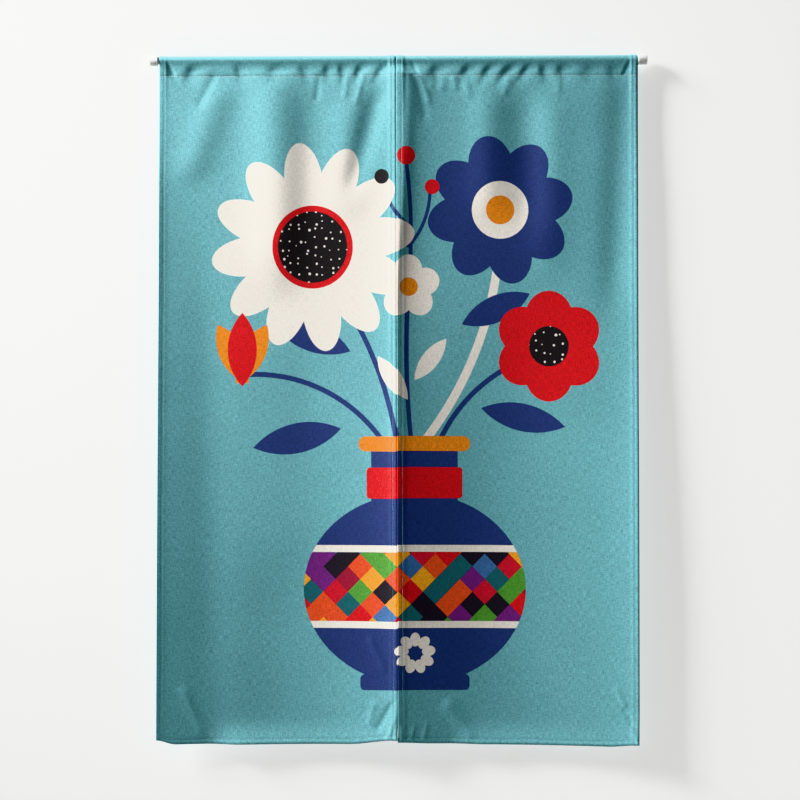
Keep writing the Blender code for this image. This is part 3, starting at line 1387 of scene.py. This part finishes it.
class Ink(Enum):
    """The print's colours, and its two patterned fills."""

    TEAL = srgb(107, 171, 179)
    NAVY = srgb(38, 56, 112)
    CREAM = srgb(238, 232, 222)
    RED = srgb(206, 18, 26)
    ORANGE = srgb(228, 134, 30)
    BLACK = srgb(20, 16, 20)
    PATCHWORK = "diamonds"
    DOTTED = "dots"


@dataclass(frozen=True)
class Motif:
    """One printed shape: its kind, ink, centre, turn and the sizes that its kind names."""

    shape: Shape
    ink: Ink
    x: float
    y: float
    turn: float
    sizes: Rows
    on_vase: bool = False


def stem(
    ink: Ink, start: tuple[float, float], end: tuple[float, float], width: float, bulge: float
) -> Motif:
    """A bent stem between two points of the print.

    The bend's radius is half the chord squared plus the bulge squared, over twice the bulge.

    Args:
        ink: its colour.
        start, end: its two ends, in millimetres.
        width: its width.
        bulge: how far its middle stands to the left of the line from start to end.

    Returns:
        The motif.
    """
    along_x, along_y = end[0] - start[0], end[1] - start[1]
    chord = math.hypot(along_x, along_y)
    bend = ((chord / 2) ** 2 + bulge**2) / (2 * bulge)
    middle_x = (start[0] + end[0]) / 2 - along_y / chord * bulge
    middle_y = (start[1] + end[1]) / 2 + along_x / chord * bulge
    turn = math.degrees(math.atan2(along_y, along_x))
    return Motif(Shape.STEM, ink, middle_x, middle_y, turn, (chord / 2, width / 2, bend))


# Painted in this order: the middle of the curtain and its hem are 0, and sizes are millimetres
MOTIFS = (
    stem(Ink.NAVY, (0, 520), (-150, 840), 9, -26),
    stem(Ink.CREAM, (44, 520), (182, 900), 15, -34),
    stem(Ink.NAVY, (72, 520), (268, 680), 9, 30),
    stem(Ink.NAVY, (-22, 520), (-276, 640), 9, -38),
    stem(Ink.NAVY, (24, 520), (20, 792), 8, 6),
    stem(Ink.NAVY, (20, 800), (16, 1010), 7, -6),
    stem(Ink.NAVY, (18, 900), (-22, 976), 6, 8),
    stem(Ink.NAVY, (18, 860), (58, 958), 6, -10),
    Motif(Shape.LEAF, Ink.NAVY, -152, 706, 160, (74, 25)),
    Motif(Shape.LEAF, Ink.NAVY, 174, 754, 24, (66, 23)),
    Motif(Shape.LEAF, Ink.NAVY, 222, 566, -12, (76, 24)),
    Motif(Shape.LEAF, Ink.NAVY, -178, 530, 192, (80, 26)),
    Motif(Shape.LEAF, Ink.CREAM, 58, 666, 52, (46, 15)),
    Motif(Shape.LEAF, Ink.CREAM, -8, 634, 124, (46, 15)),
    Motif(Shape.OVAL, Ink.NAVY, 30, 268, 0, (196, 166)),
    Motif(Shape.BAR, Ink.NAVY, 30, 446, 0, (76, 76, 14)),
    Motif(Shape.BAR, Ink.NAVY, 30, 106, 0, (96, 14, 8)),
    Motif(Shape.BAR, Ink.PATCHWORK, 30, 272, 0, (220, 60, 1), True),
    Motif(Shape.BAR, Ink.CREAM, 30, 338, 0, (220, 6, 1), True),
    Motif(Shape.BAR, Ink.CREAM, 30, 206, 0, (220, 6, 1), True),
    Motif(Shape.PETALS, Ink.CREAM, 30, 156, 90, (9, 12, 36, 9), True),
    Motif(Shape.BAR, Ink.RED, 30, 452, 0, (84, 27, 6)),
    Motif(Shape.BAR, Ink.ORANGE, 30, 520, 0, (98, 13, 12)),
    Motif(Shape.PETALS, Ink.CREAM, -150, 862, 8, (12, 44, 182, 34)),
    Motif(Shape.OVAL, Ink.RED, -150, 862, 0, (72, 72)),
    Motif(Shape.OVAL, Ink.DOTTED, -150, 862, 0, (62, 62)),
    Motif(Shape.PETALS, Ink.NAVY, 182, 926, 12, (8, 18, 130, 40)),
    Motif(Shape.OVAL, Ink.CREAM, 182, 926, 0, (50, 50)),
    Motif(Shape.OVAL, Ink.ORANGE, 182, 926, 0, (25, 25)),
    Motif(Shape.PETALS, Ink.RED, 268, 690, 30, (6, 4, 96, 42)),
    Motif(Shape.OVAL, Ink.DOTTED, 268, 690, 0, (35, 35)),
    Motif(Shape.LEAF, Ink.ORANGE, -293, 676, 118, (58, 23)),
    Motif(Shape.LEAF, Ink.ORANGE, -259, 676, 62, (58, 23)),
    Motif(Shape.LEAF, Ink.RED, -276, 684, 90, (64, 26)),
    Motif(Shape.PETALS, Ink.CREAM, 20, 792, 18, (5, 4, 56, 24)),
    Motif(Shape.OVAL, Ink.ORANGE, 20, 792, 0, (16, 16)),
    Motif(Shape.OVAL, Ink.RED, 16, 1020, 0, (16, 16)),
    Motif(Shape.OVAL, Ink.BLACK, -26, 984, 0, (13, 13)),
    Motif(Shape.OVAL, Ink.RED, 62, 966, 0, (13, 13)),
)

PATCHES = (
    srgb(196, 20, 40),
    srgb(236, 160, 40),
    srgb(84, 150, 60),
    srgb(110, 40, 120),
    srgb(222, 78, 38),
    srgb(70, 110, 160),
    srgb(24, 92, 100),
    srgb(150, 20, 50),
    srgb(28, 22, 34),
    srgb(206, 18, 26),
)


# The patchwork's squares, and the specks' spacing and greatest radius, in millimetres
PATCH_SIDE = 31.0
SPECK_SPACING = 15.0
SPECK_RADIUS = 2.2


def patchwork_group() -> Tree:
    """Diamonds: the place is turned by an eighth and cut into squares, each with its colour.

    Returns:
        A group from the place and the square's side to a colour.
    """
    inputs = {"Place": "Vector", "Cell": "Float"}
    wiring, given, leave = new_group("patchwork", inputs, {"Color": "Color"})
    place_x, place_y = wiring.split(given["Place"])
    cells = []
    for turned in (wiring.math("ADD", place_x, place_y), wiring.math("SUBTRACT", place_y, place_x)):
        scaled = wiring.math("MULTIPLY", turned, math.sqrt(0.5))
        cells.append(wiring.math("FLOOR", wiring.math("DIVIDE", scaled, given["Cell"])))
    chance = wiring.node("ShaderNodeTexWhiteNoise", noise_dimensions="2D")
    wiring.feed(chance.inputs["Vector"], wiring.join(*cells))
    ramp = wiring.node("ShaderNodeValToRGB")
    ramp.color_ramp.interpolation = "CONSTANT"
    stops = ramp.color_ramp.elements
    stops.remove(stops[1])
    stops[0].color = PATCHES[0]
    for index, colour in enumerate(PATCHES[1:], 1):
        stops.new(index / len(PATCHES)).color = colour
    wiring.feed(ramp.inputs[0], chance.outputs["Value"])
    wiring.feed(leave.inputs["Color"], ramp.outputs[0])
    return wiring.tree


def dots_group() -> Tree:
    """White specks of uneven size on black: discs about scattered points.

    Returns:
        A group from the place, the specks' spacing and their size to a colour.
    """
    inputs = {"Place": "Vector", "Spacing": "Float", "Speck": "Float"}
    wiring, given, leave = new_group("dots", inputs, {"Color": "Color"})
    spacing = given["Spacing"]
    cells = wiring.node("ShaderNodeTexVoronoi", voronoi_dimensions="2D")
    scaled = wiring.vector("SCALE", given["Place"], wiring.math("DIVIDE", 1.0, spacing))
    wiring.feed(cells.inputs["Vector"], scaled)
    wiring.feed(cells.inputs["Scale"], 1.0)
    wiring.feed(cells.inputs["Randomness"], SPECK_SCATTER)
    away = wiring.math("MULTIPLY", cells.outputs["Distance"], spacing)
    chance, _ = wiring.split(cells.outputs["Color"])
    size = wiring.math("MULTIPLY", given["Speck"], wiring.remap(chance, 0.0, 1.0, *SPECK_SIZES))
    edge = wiring.math("SUBTRACT", away, size)
    mask = wiring.math("MULTIPLY_ADD", edge, -1.0 / EDGE_SOFTNESS, 0.5, clamp=True)
    wiring.feed(leave.inputs["Color"], wiring.mix(mask, Ink.BLACK.value, Ink.CREAM.value))
    return wiring.tree


def print_group() -> Tree:
    """The whole print: every motif's mask lays its ink over what is under it.

    Returns:
        A group from the flat cloth's map, in metres, to the print's colour.
    """
    wiring, given, leave = new_group("flower print", {"Flat": "Vector"}, {"Color": "Color"})
    place = wiring.vector("SCALE", given["Flat"], 1.0 / MM)
    groups = {}
    for shape, (sizes, formula) in SHAPE_SIZES.items():
        groups[shape] = shape_group(shape.value, sizes, formula)
    diamonds = wiring.group(patchwork_group(), Place=place, Cell=PATCH_SIDE).outputs[0]
    dots = wiring.group(dots_group(), Place=place, Spacing=SPECK_SPACING, Speck=SPECK_RADIUS)
    fills = {Ink.PATCHWORK: diamonds, Ink.DOTTED: dots.outputs[0]}
    colour: object = Ink.TEAL.value
    vase = None
    for motif in MOTIFS:
        labels, _ = SHAPE_SIZES[motif.shape]
        node = wiring.group(groups[motif.shape], Place=place)
        named = dict(zip(labels, motif.sizes))
        named.update({"Centre X": motif.x, "Centre Y": motif.y, "Turn": motif.turn})
        for label, value in named.items():
            wiring.feed(node.inputs[label], value)
        mask = node.outputs[0]
        if motif.on_vase:
            mask = wiring.math("MULTIPLY", mask, vase)
        if motif.shape is Shape.OVAL and motif.ink is Ink.NAVY and vase is None:
            vase = mask
        colour = wiring.mix(mask, colour, fills.get(motif.ink, motif.ink.value))
    wiring.feed(leave.inputs["Color"], colour)
    return wiring.tree


@dataclass(frozen=True)
class LinenWeave:
    """Linen-look weave: fine threads both ways, with long thick and thin stretches.

    Slubs are noise drawn out along the thread, one set for each direction. Threads are
    two sine waves at right angles, whose product is highest where threads cross. Each
    triple is how many steps a metre the noise has across the cloth and up it, and 1.
    """

    weft_slubs: Rows = (120.0, 800.0, 1.0)
    warp_slubs: Rows = (760.0, 90.0, 1.0)
    fine_weft: Rows = (240.0, 1500.0, 1.0)
    fine_warp: Rows = (1400.0, 210.0, 1.0)
    fuzz: Rows = (900.0, 900.0, 1.0)
    slub_roughness: float = 0.6
    fuzz_roughness: float = 0.7
    fine_share: float = 0.5
    thread_share: float = 0.25

    def build(self) -> Tree:
        """Wires the weave.

        Returns:
            A group from the flat cloth's map, in metres, to a shade, a height and a fuzz mask.
        """
        wiring, given, leave = new_group(
            "linen weave",
            {"Flat": "Vector", "Threads": "Float"},
            {"Shade": "Float", "Height": "Float", "Fuzz": "Float"},
        )

        def grain(steps: Rows, detail: float, roughness: float) -> Socket:
            """Noise on the flat cloth with its own steps a metre each way."""
            return wiring.noise(wiring.vector("MULTIPLY", given["Flat"], steps), 1.0, detail, roughness)

        slubs = [grain(steps, 2.0, self.slub_roughness) for steps in (self.weft_slubs, self.warp_slubs)]
        fine = [grain(steps, 1.0, 0.5) for steps in (self.fine_weft, self.fine_warp)]
        turns = wiring.math("MULTIPLY", given["Threads"], 2 * math.pi)
        waves = [
            wiring.math("SINE", wiring.math("MULTIPLY", place, turns))
            for place in wiring.split(given["Flat"])
        ]
        crossing = wiring.math("MULTIPLY", *waves)
        slub_sum = wiring.math("ADD", *slubs)
        shade = wiring.math("MULTIPLY_ADD", wiring.math("ADD", *fine), self.fine_share, slub_sum)
        height = wiring.math("MULTIPLY_ADD", crossing, self.thread_share, shade)
        fuzz = grain(self.fuzz, 2.0, self.fuzz_roughness)
        wiring.feed(leave.inputs["Shade"], wiring.remap(shade, 1.1, 1.9))
        wiring.feed(leave.inputs["Height"], height)
        wiring.feed(leave.inputs["Fuzz"], wiring.remap(fuzz, 0.45, 0.7))
        return wiring.tree


@dataclass(frozen=True)
class Finish:
    """A surface's plain shader values."""

    name: str
    roughness: float
    sheen: float = 0.0
    specular: float = 0.5
    coat: float = 0.0
    subsurface: float = 0.0

    def shader(self) -> tuple[Material, Wiring, Node]:
        """Makes a material with these values on its Principled shader.

        Returns:
            The material, the wiring of its tree, and the shader.
        """
        material = bpy.data.materials.new(self.name)
        material.use_nodes = True
        shader = material.node_tree.nodes["Principled BSDF"]
        values = {
            "Roughness": self.roughness,
            "Sheen Weight": self.sheen,
            "Sheen Roughness": 0.5,
            "Specular IOR Level": self.specular,
            "Coat Weight": self.coat,
            "Subsurface Weight": self.subsurface,
            "Subsurface Radius": (0.006, 0.006, 0.005),
            "Subsurface Scale": 1.0,
        }
        for name, value in values.items():
            shader.inputs[name].default_value = value
        return material, Wiring(material.node_tree), shader


def add_relief(wiring: Wiring, shader: Node, height: Socket, distance: float) -> None:
    """Gives a shader a bump.

    Args:
        wiring: the material's wiring.
        shader: its shader.
        height: the bump's height, from 0 to about 1.
        distance: what a height of 1 stands for, in metres.
    """
    bump = wiring.node("ShaderNodeBump")
    wiring.feed(bump.inputs["Strength"], 1.0)
    wiring.feed(bump.inputs["Distance"], distance)
    wiring.feed(bump.inputs["Height"], height)
    wiring.feed(shader.inputs["Normal"], bump.outputs[0])


@dataclass(frozen=True)
class PrintedCloth:
    """The cloth's face or reverse: the print under the weave's shade and relief.

    Pale ink hides more of the weave's shade than deep ink does.
    """

    finish: Finish
    strength: float
    ground: Colour
    contrast: float = 0.44
    relief: float = 0.00004
    threads: float = 1700.0
    pale_contrast: float = 0.45
    tone_scale: float = 9.0
    tone_depth: float = 0.04
    rough_depth: float = 0.08
    lint: float = 0.05
    lint_colour: Colour = srgb(236, 236, 232)

    def build(self, flowers: Tree, weave: Tree) -> Material:
        """Wires the print and weave into a material.

        Args:
            flowers: the print's group.
            weave: the weave's group.

        Returns:
            The cloth material.
        """
        material, wiring, shader = self.finish.shader()
        flat = wiring.node("ShaderNodeUVMap", uv_map="flat_cloth").outputs[0]
        colour = wiring.group(flowers, Flat=flat).outputs["Color"]
        colour = wiring.mix(self.strength, self.ground, colour)
        woven = wiring.group(weave, Flat=flat, Threads=self.threads).outputs
        darkest, palest = 1.0 - self.contrast, 1.0 + self.contrast
        shade = wiring.remap(woven["Shade"], 0.0, 1.0, darkest, palest)
        tone = wiring.noise(wiring.vector("SCALE", flat, self.tone_scale), 1.0, 3.0)
        tone = wiring.remap(tone, 0.3, 0.7, 1.0 - self.tone_depth, 1.0 + self.tone_depth)
        shade = wiring.math("MULTIPLY", shade, tone)
        pale = wiring.vector("DOT_PRODUCT", colour, (0.2, 0.7, 0.1))
        held = wiring.remap(pale, 0.45, 0.8, 1.0, self.pale_contrast)
        dyed = wiring.mix(held, colour, wiring.join(shade, shade, shade), "MULTIPLY")
        lint = wiring.math("MULTIPLY", woven["Fuzz"], self.lint)
        wiring.feed(shader.inputs["Base Color"], wiring.mix(lint, dyed, self.lint_colour))
        middle = self.finish.roughness
        ends = (middle + self.rough_depth, middle - self.rough_depth)
        wiring.feed(shader.inputs["Roughness"], wiring.remap(woven["Shade"], 0.0, 1.0, *ends))
        add_relief(wiring, shader, woven["Height"], self.relief)
        return material


@dataclass(frozen=True)
class PlainFinish:
    """A one-coloured surface with faint mottling, scuffs and relief."""

    finish: Finish
    colour: Colour
    worn: Colour
    grain: float
    wear: float
    relief: float
    patch_share: float = 0.12

    def build(self) -> Material:
        """Wires the mottling and relief into a material on Object coordinates.

        Returns:
            The material.
        """
        material, wiring, shader = self.finish.shader()
        place = wiring.node("ShaderNodeTexCoord").outputs["Object"]
        fine = wiring.noise(place, self.grain, 3.0)
        broad = wiring.noise(place, self.grain * self.patch_share, 2.0)
        share = wiring.math("MULTIPLY", wiring.remap(broad, 0.45, 0.75), self.wear)
        wiring.feed(shader.inputs["Base Color"], wiring.mix(share, self.colour, self.worn))
        low, high = self.finish.roughness - 0.06, self.finish.roughness + 0.1
        wiring.feed(shader.inputs["Roughness"], wiring.remap(fine, 0.3, 0.7, low, high))
        add_relief(wiring, shader, fine, self.relief)
        return material


CLOTH_FACE = PrintedCloth(
    Finish("printed cloth face", 0.76, sheen=0.12, specular=0.36), 1.0, srgb(226, 228, 222)
)
CLOTH_BACK = PrintedCloth(
    Finish("cloth reverse", 0.88, sheen=0.1, specular=0.25), 0.62, srgb(222, 226, 222)
)
THREAD = PlainFinish(
    Finish("teal thread", 0.6, sheen=0.2),
    srgb(128, 186, 190),
    srgb(150, 200, 202),
    grain=900.0,
    wear=0.5,
    relief=0.0001,
)
PALE_THREAD = PlainFinish(
    Finish("pale thread", 0.6, sheen=0.2),
    srgb(226, 240, 238),
    srgb(204, 228, 228),
    grain=900.0,
    wear=0.5,
    relief=0.0001,
)
WHITE_COAT = PlainFinish(
    Finish("white coated steel", 0.34, coat=0.2),
    srgb(234, 234, 230),
    srgb(214, 212, 204),
    grain=400.0,
    wear=0.4,
    relief=0.00004,
)
WHITE_CAP = PlainFinish(
    Finish("white moulded cap", 0.42, subsurface=0.8),
    srgb(246, 246, 244),
    srgb(222, 221, 214),
    grain=600.0,
    wear=0.5,
    relief=0.00004,
)


# Stage


@dataclass(frozen=True)
class Lamp:
    """A soft square area lamp, which lights a cone that fades toward its rim.

    Places and the size are in metres, the power in watts and the cone's angle in degrees.
    """

    name: str
    place: Rows
    aim: Rows
    size: float
    power: float
    spread: float

    def build(self) -> None:
        """Makes the lamp and turns it to face its aim."""
        data = bpy.data.lights.new(self.name, "AREA")
        data.size = self.size
        data.energy = self.power
        data.spread = math.radians(self.spread)
        lamp = link(bpy.data.objects.new(self.name, data))
        lamp.location = self.place
        toward = Vector(self.aim) - Vector(self.place)
        lamp.rotation_euler = toward.to_track_quat("-Z", "Y").to_euler()


@dataclass(frozen=True)
class Backing:
    """A flat staged sheet, which can be seen and lit through from behind.

    Its corners go counterclockwise as seen from its front. The glow is how much even
    light it gives out, so that shadows on it stay pale.
    """

    name: str
    corners: tuple[Rows, ...]
    colour: Colour
    glow: float

    def build(self) -> None:
        """Makes the sheet and its material, clear to shadow rays and from behind."""
        mesh = bpy.data.meshes.new(self.name)
        mesh.from_pydata(self.corners, [], [(0, 1, 2, 3)])
        material, wiring, shader = Finish(self.name, 0.9, specular=0.1).shader()
        wiring.feed(shader.inputs["Base Color"], self.colour)
        wiring.feed(shader.inputs["Emission Color"], (1.0, 1.0, 0.99, 1.0))
        wiring.feed(shader.inputs["Emission Strength"], self.glow)
        leave = material.node_tree.nodes["Material Output"]
        clear = wiring.node("ShaderNodeBsdfTransparent")
        choose = wiring.node("ShaderNodeMixShader")
        behind = wiring.node("ShaderNodeNewGeometry").outputs["Backfacing"]
        shadow = wiring.node("ShaderNodeLightPath").outputs["Is Shadow Ray"]
        wiring.feed(choose.inputs[0], wiring.math("MAXIMUM", behind, shadow))
        wiring.feed(choose.inputs[1], shader.outputs[0])
        wiring.feed(choose.inputs[2], clear.outputs[0])
        wiring.feed(leave.inputs["Surface"], choose.outputs[0])
        mesh.materials.append(material)
        link(bpy.data.objects.new(self.name, mesh))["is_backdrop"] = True


@dataclass(frozen=True)
class Stage:
    """Camera, lights, a pale backdrop a little behind the cloth and a pale floor, in metres."""

    middle: tuple[float, float] = (0.4348, -0.591)
    view_height: float = 1.391
    distance: float = 3.4
    roll: float = 0.2
    sensor: float = 36.0
    wall: float = 0.015
    floor: float = -1.9
    left: float = -3.2
    right: float = 4.1
    top: float = 2.4
    depth: float = 4.2
    wall_colour: Colour = srgb(200, 200, 199)
    wall_glow: float = 0.58
    floor_colour: Colour = srgb(150, 150, 149)
    floor_glow: float = 0.2
    sky_colour: Colour = (1.0, 0.97, 0.93, 1.0)
    sky_strength: float = 0.055

    def camera(self) -> None:
        """Sets a level camera straight in front, whose view is this high at the cloth."""
        data = bpy.data.cameras.new("camera")
        data.sensor_width = self.sensor
        data.lens = self.sensor * self.distance / self.view_height
        camera = link(bpy.data.objects.new("camera", data))
        camera.location = (self.middle[0], -self.distance, self.middle[1])
        camera.rotation_euler = (math.pi / 2, math.radians(self.roll), 0.0)
        bpy.context.scene.camera = camera

    def backings(self) -> tuple[Backing, Backing]:
        """The backdrop and the floor.

        Returns:
            The two sheets.
        """
        left, right, wall, floor = self.left, self.right, self.wall, self.floor
        upright = (
            (left, wall, floor),
            (right, wall, floor),
            (right, wall, self.top),
            (left, wall, self.top),
        )
        level = (
            (left, -self.depth, floor),
            (right, -self.depth, floor),
            (right, self.depth, floor),
            (left, self.depth, floor),
        )
        return (
            Backing("backdrop", upright, self.wall_colour, self.wall_glow),
            Backing("floor", level, self.floor_colour, self.floor_glow),
        )

    def build(self) -> None:
        """Sets up the whole stage."""
        self.camera()
        middle = (self.middle[0], 0.0, self.middle[1])
        lamps = (
            Lamp("key", (-2.5, -0.7, 1.5), (-0.4, 0.0, 0.1), 1.3, 74.0, 64.0),
            Lamp("back", (-0.9, 2.6, 0.9), middle, 1.8, 19.0, 180.0),
        )
        for piece in (*self.backings(), *lamps):
            piece.build()
        world = bpy.data.worlds.new("studio")
        world.use_nodes = True
        background = world.node_tree.nodes["Background"]
        background.inputs["Color"].default_value = self.sky_colour
        background.inputs["Strength"].default_value = self.sky_strength
        bpy.context.scene.world = world
        bpy.context.scene.view_settings.view_transform = "Khronos PBR Neutral"


def dress(thing: Object, *materials: Material) -> Object:
    """Gives an object these materials in order.

    Args:
        thing: the object.
        materials: its materials.

    Returns:
        The object.
    """
    thing.data.materials.clear()
    for material in materials:
        thing.data.materials.append(material)
    return thing


def build_panel(
    plan: PanelPlan, hung: HungCloth, sides: list[Material], threads: list[Material]
) -> None:
    """Builds one panel with its sewing, and hides the part node that they stand in for.

    Args:
        plan: the panel's plan.
        hung: the hung shape.
        sides: the materials of the cloth's face and reverse.
        threads: the side hems' thread and the heading's.
    """
    panel = ClothPanel(plan, hung)
    cloth = dress(panel.build(), *sides)
    stitches = Sewing(panel, threads).build(plan.name.replace("cloth", "stitches"))
    for piece in (cloth, stitches):
        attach(piece, BODY)
        LOG.info("%s: %d faces", piece.name, len(piece.data.polygons))
    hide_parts(plan.node)


def build_rod(frame: dict) -> None:
    """Dresses the rod and replaces its two end caps with finer ones.

    Args:
        frame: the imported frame.
    """
    rod = frame["nodes"]["rod"]
    dress(rod, WHITE_COAT.build())
    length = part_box("rod_cap_right")[1][0] / MM
    white = WHITE_CAP.build()
    caps = (
        EndCap("end_cap_left", "rod_cap_left", 0.0, -1.0),
        EndCap("end_cap_right", "rod_cap_right", length, 1.0),
    )
    for plan in caps:
        cap = dress(plan.build(), white)
        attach(cap, BODY)
        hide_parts(plan.node)
        LOG.info("%s: %d faces", cap.name, len(cap.data.polygons))


def main() -> list[list[float]]:
    """Builds the whole scene around the frame.

    Returns:
        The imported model's lowest and highest corners.
    """
    logging.basicConfig(level=logging.INFO, format="%(name)s: %(message)s")
    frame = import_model()
    packed = [list(corner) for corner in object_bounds()]
    hung = HungCloth()
    flowers, weave = print_group(), LinenWeave().build()
    sides = [CLOTH_FACE.build(flowers, weave), CLOTH_BACK.build(flowers, weave)]
    threads = [THREAD.build(), PALE_THREAD.build()]
    for plan in PLANS:
        build_panel(plan, hung, sides, threads)
    build_rod(frame)
    Stage().build()
    return packed


if __name__ == "__main__":
    PACKED_BOX = main()
